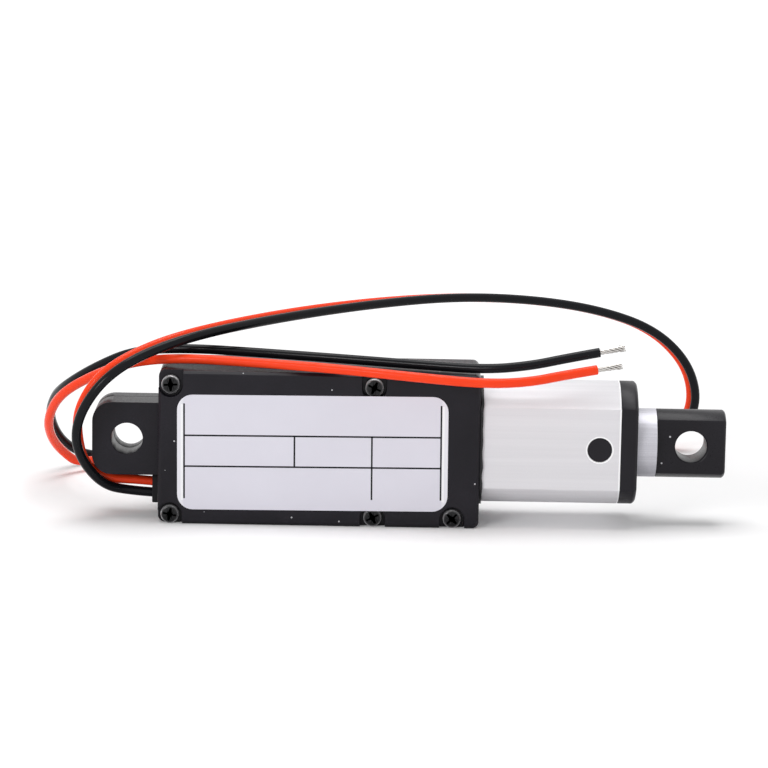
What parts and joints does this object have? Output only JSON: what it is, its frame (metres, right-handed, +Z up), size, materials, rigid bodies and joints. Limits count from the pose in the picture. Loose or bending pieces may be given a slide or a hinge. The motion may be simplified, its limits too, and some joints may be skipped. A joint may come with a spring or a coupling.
{
  "type": "micro linear actuator",
  "caption": "Micro linear actuator: black geared-motor housing with a rear eye, flatted aluminium tube, sliding rod with an eye, and a red and a black lead.",
  "frame": {"origin": "centre of the rear eye's bore", "axes": "+X along the rod towards the rod's eye, +Y away from the screwed front face, +Z up"},
  "size_m": [0.0924, 0.0617, 0.0267],
  "materials": {
    "housing_plastic": "moulded black, fine satin grain",
    "cap_plastic": "moulded black, satin",
    "rod_end_plastic": "moulded black, satin",
    "screw_black": "black oxide",
    "tube_aluminium": "drawn, bead blasted, clear anodised",
    "rod_aluminium": "drawn and polished",
    "sealant": "cured black bead",
    "black_rubber": "matt",
    "white_plastic": "natural, machined",
    "steel": "ground",
    "bearing_steel": "polished",
    "motor_steel": "plated sheet",
    "brass": "machined",
    "board": "solder mask",
    "switch_plastic": "moulded",
    "red_insulation": "glossy extruded",
    "black_insulation": "glossy extruded",
    "tinned_strand": "tinned strands"
  },
  "bodies": {
    "housing": {"front_shell": "housing_plastic", "rear_shell": "housing_plastic", "cover_screws": "screw_black", "wire_grommet": "black_rubber", "guide_tube": "tube_aluminium", "tube_sealant": "sealant", "front_cap": "cap_plastic", "rod_wiper": "black_rubber", "bearing_holder": "white_plastic", "bearing_outer_ring": "bearing_steel", "motor_can": "motor_steel", "motor_end_bell": "switch_plastic", "motor_terminals": "brass", "gearbox_rear_plate": "brass", "gearbox_front_plate": "brass", "gearbox_posts": "steel", "idler_pin": "steel", "limit_board": "board", "limit_switches": "switch_plastic", "blocking_diodes": "switch_plastic", "red_wire": "red_insulation", "black_wire": "black_insulation", "wire_tips": "tinned_strand"},
    "rotor": {"motor_shaft": "steel", "motor_pinion": "brass"},
    "first_idler": {"first_idler_gear": "brass"},
    "middle": {"middle_gear": "brass"},
    "second_idler": {"second_idler_gear": "brass"},
    "screw": {"output_gear": "brass", "output_shaft": "steel", "shaft_coupling": "brass", "lead_screw": "steel", "bearing_inner_ring": "bearing_steel", "bearing_balls": "bearing_steel"},
    "rod": {"push_rod": "rod_aluminium", "drive_nut": "white_plastic", "rod_end": "rod_end_plastic"},
    "retract_button": {"retract_plunger": "white_plastic"},
    "extend_button": {"extend_plunger": "white_plastic"}
  },
  "joints": [
    {"name": "motor_spin", "type": "hinge", "parent": "housing", "child": "rotor", "pos_m": [0, 0, 0], "axis": [-1, 0, 0], "range_deg": [0, 153550]},
    {"name": "first_idler_spin", "type": "hinge", "parent": "housing", "child": "first_idler", "pos_m": [0, 0, 0.0032], "axis": [-1, 0, 0], "range_deg": [-60085, 0]},
    {"name": "middle_gear_spin", "type": "hinge", "parent": "housing", "child": "middle", "pos_m": [0, 0, 0], "axis": [-1, 0, 0], "range_deg": [0, 23512]},
    {"name": "second_idler_spin", "type": "hinge", "parent": "housing", "child": "second_idler", "pos_m": [0, 0, 0.0032], "axis": [-1, 0, 0], "range_deg": [-9200.5, 0]},
    {"name": "screw_spin", "type": "hinge", "parent": "housing", "child": "screw", "pos_m": [0, 0, 0], "axis": [-1, 0, 0], "range_deg": [0, 3600.1]},
    {"name": "rod_slide", "type": "slide", "parent": "housing", "child": "rod", "axis": [1, 0, 0], "range_m": [0, 0.01]},
    {"name": "retract_switch_press", "type": "slide", "parent": "housing", "child": "retract_button", "axis": [-1, 0, 0], "range_m": [0, 0.0003], "stiffness_N_per_m": 100},
    {"name": "extend_switch_press", "type": "slide", "parent": "housing", "child": "extend_button", "axis": [1, 0, 0], "range_m": [0, 0.0003], "stiffness_N_per_m": 100}
  ],
  "couplings": [
    {"joint": "screw_spin", "follows": "rod_slide", "rad_per_m": 6283.2},
    {"joint": "second_idler_spin", "follows": "rod_slide", "rad_per_m": -16057},
    {"joint": "middle_gear_spin", "follows": "rod_slide", "rad_per_m": 41035},
    {"joint": "first_idler_spin", "follows": "rod_slide", "rad_per_m": -104870},
    {"joint": "motor_spin", "follows": "rod_slide", "rad_per_m": 267990}
  ]
}
